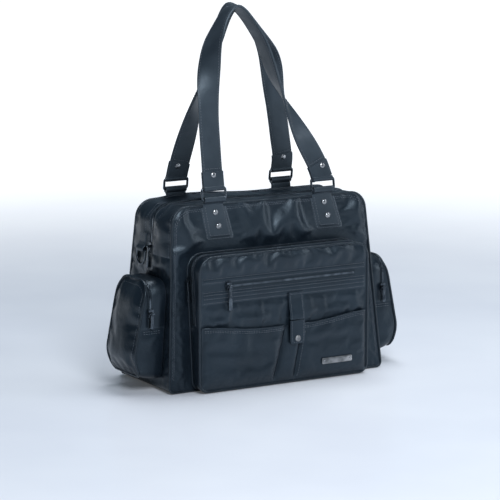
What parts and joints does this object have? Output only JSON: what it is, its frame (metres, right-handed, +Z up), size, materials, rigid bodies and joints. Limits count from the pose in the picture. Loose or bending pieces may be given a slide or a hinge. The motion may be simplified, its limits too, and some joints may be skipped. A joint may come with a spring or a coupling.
{
  "type": "diaper bag",
  "caption": "Soft boxy shoulder bag with a zipped mouth, a zipped front pocket with slip pockets, zipped side pockets and two strap handles on metal rings.",
  "frame": {"origin": "middle of the underside of the base, on the surface the bag stands on", "axes": "+Z up; the front faces -Y; +X is on the right of someone facing the front"},
  "size_m": [0.4938, 0.1973, 0.5993],
  "materials": {
    "leather": "soft crumpled leather-look, semi-gloss",
    "lining": "woven polyester",
    "zip": "woven tape with moulded coil",
    "gunmetal": "dark plated, polished",
    "nickel": "polished",
    "board": "matte"
  },
  "bodies": {
    "bag": {"front_panel": "leather", "back_panel": "leather", "side_gusset_left": "leather", "side_gusset_right": "leather", "base_panel": "leather", "base_board": "board", "lining": "lining", "main_zip_left": "zip", "main_zip_right": "zip", "pocket_gusset_rear": "leather", "side_pocket_gusset_left": "leather", "side_pocket_gusset_right": "leather", "d_ring_tab_left": "leather", "d_ring_tab_right": "leather", "anchor_tab_front_left": "leather", "anchor_tab_front_right": "leather", "anchor_tab_back_left": "leather", "anchor_tab_back_right": "leather", "anchor_rivets_front_left": "nickel", "anchor_rivets_front_right": "nickel", "anchor_rivets_back_left": "nickel", "anchor_rivets_back_right": "nickel"},
    "handle_front": {"handle_strap_front": "leather", "handle_ring_front_left": "gunmetal", "handle_ring_front_right": "gunmetal", "handle_rivet_front_left": "nickel", "handle_rivet_front_right": "nickel"},
    "handle_back": {"handle_strap_back": "leather", "handle_ring_back_left": "gunmetal", "handle_ring_back_right": "gunmetal", "handle_rivet_back_left": "nickel", "handle_rivet_back_right": "nickel"},
    "mouth_front": {"mouth_panel_front": "leather"},
    "mouth_back": {"mouth_panel_back": "leather"},
    "main_zip_slider": {"main_zip_slider": "gunmetal"},
    "main_zip_pull": {"main_zip_pull": "gunmetal"},
    "front_pocket": {"pocket_face": "leather", "pocket_gusset_front": "leather", "pocket_zip": "zip", "face_zip": "zip", "slip_pocket_left": "leather", "slip_pocket_right": "leather", "centre_strap": "leather", "badge": "nickel"},
    "snap_strap": {"snap_strap": "leather", "snap_cap": "nickel"},
    "face_zip_slider": {"face_zip_slider": "gunmetal"},
    "face_zip_pull": {"face_zip_pull": "gunmetal"},
    "pocket_zip_slider": {"pocket_zip_slider": "gunmetal"},
    "pocket_zip_pull": {"pocket_zip_pull": "gunmetal"},
    "side_pocket_left": {"side_pocket_face_left": "leather", "side_pocket_zip_left": "zip"},
    "side_left_zip_slider": {"side_left_zip_slider": "gunmetal"},
    "side_left_zip_pull": {"side_left_zip_pull": "gunmetal"},
    "d_ring_left": {"d_ring_left": "gunmetal"},
    "side_pocket_right": {"side_pocket_face_right": "leather", "side_pocket_zip_right": "zip"},
    "side_right_zip_slider": {"side_right_zip_slider": "gunmetal"},
    "side_right_zip_pull": {"side_right_zip_pull": "gunmetal"},
    "d_ring_right": {"d_ring_right": "gunmetal"}
  },
  "joints": [
    {"name": "handle_front_swing", "type": "hinge", "parent": "bag", "child": "handle_front", "pos_m": [0, -0.0615, 0.299], "axis": [1, 0, 0], "range_deg": [0, 134]},
    {"name": "handle_back_swing", "type": "hinge", "parent": "bag", "child": "handle_back", "pos_m": [0, 0.0615, 0.299], "axis": [-1, 0, 0], "range_deg": [0, 134]},
    {"name": "mouth_front_open", "type": "hinge", "parent": "bag", "child": "mouth_front", "pos_m": [0, -0.05063, 0.2885], "axis": [1, 0, 0], "range_deg": [0, 50]},
    {"name": "mouth_back_open", "type": "hinge", "parent": "bag", "child": "mouth_back", "pos_m": [0, 0.05312, 0.2885], "axis": [-1, 0, 0], "range_deg": [0, 50]},
    {"name": "main_zip_slide", "type": "slide", "parent": "bag", "child": "main_zip_slider", "axis": [0.0722, 0, 0.9974], "range_m": [0, 0.026]},
    {"name": "main_pull_swing", "type": "hinge", "parent": "main_zip_slider", "child": "main_zip_pull", "pos_m": [-0.18871, 0, 0.22239], "axis": [0, 1, 0], "range_deg": [0, 120]},
    {"name": "front_pocket_open", "type": "hinge", "parent": "bag", "child": "front_pocket", "pos_m": [0, -0.1027, 0.003], "axis": [1, 0, 0], "range_deg": [0, 12]},
    {"name": "snap_strap_lift", "type": "hinge", "parent": "front_pocket", "child": "snap_strap", "pos_m": [0.0185, -0.1123, 0.1011], "axis": [-1, 0, 0], "range_deg": [0, 110]},
    {"name": "face_zip_slide", "type": "slide", "parent": "front_pocket", "child": "face_zip_slider", "axis": [1, 0, 0], "range_m": [0, 0.225]},
    {"name": "face_pull_swing", "type": "hinge", "parent": "face_zip_slider", "child": "face_zip_pull", "pos_m": [-0.103, -0.1108, 0.168], "axis": [-1, 0, 0], "range_deg": [0, 120]},
    {"name": "pocket_zip_slide", "type": "slide", "parent": "front_pocket", "child": "pocket_zip_slider", "axis": [0, 0.0876, 0.9962], "range_m": [-0.06, 0.008]},
    {"name": "pocket_pull_swing", "type": "hinge", "parent": "pocket_zip_slider", "child": "pocket_zip_pull", "pos_m": [-0.1608, -0.07594, 0.177], "axis": [0, 0.9962, -0.0876], "range_deg": [0, 120]},
    {"name": "side_pocket_left_open", "type": "hinge", "parent": "bag", "child": "side_pocket_left", "pos_m": [-0.203, -0.008, 0.0145], "axis": [0, -1, 0], "range_deg": [0, 10]},
    {"name": "side_left_zip_slide", "type": "slide", "parent": "side_pocket_left", "child": "side_left_zip_slider", "axis": [0, 0, 1], "range_m": [-0.019, 0.016]},
    {"name": "side_left_pull_swing", "type": "hinge", "parent": "side_left_zip_slider", "child": "side_left_zip_pull", "pos_m": [-0.2149, -0.0608, 0.127], "axis": [-1, 0, 0], "range_deg": [0, 120]},
    {"name": "d_ring_left_swing", "type": "hinge", "parent": "bag", "child": "d_ring_left", "pos_m": [-0.18709, 0.026, 0.21433], "axis": [0, 1, 0], "range_deg": [0, 120]},
    {"name": "side_pocket_right_open", "type": "hinge", "parent": "bag", "child": "side_pocket_right", "pos_m": [0.203, -0.008, 0.0145], "axis": [0, 1, 0], "range_deg": [0, 10]},
    {"name": "side_right_zip_slide", "type": "slide", "parent": "side_pocket_right", "child": "side_right_zip_slider", "axis": [0, 0, 1], "range_m": [-0.019, 0.016]},
    {"name": "side_right_pull_swing", "type": "hinge", "parent": "side_right_zip_slider", "child": "side_right_zip_pull", "pos_m": [0.2149, -0.0608, 0.127], "axis": [-1, 0, 0], "range_deg": [0, 120]},
    {"name": "d_ring_right_swing", "type": "hinge", "parent": "bag", "child": "d_ring_right", "pos_m": [0.18709, 0.026, 0.21433], "axis": [0, -1, 0], "range_deg": [0, 120]}
  ]
}
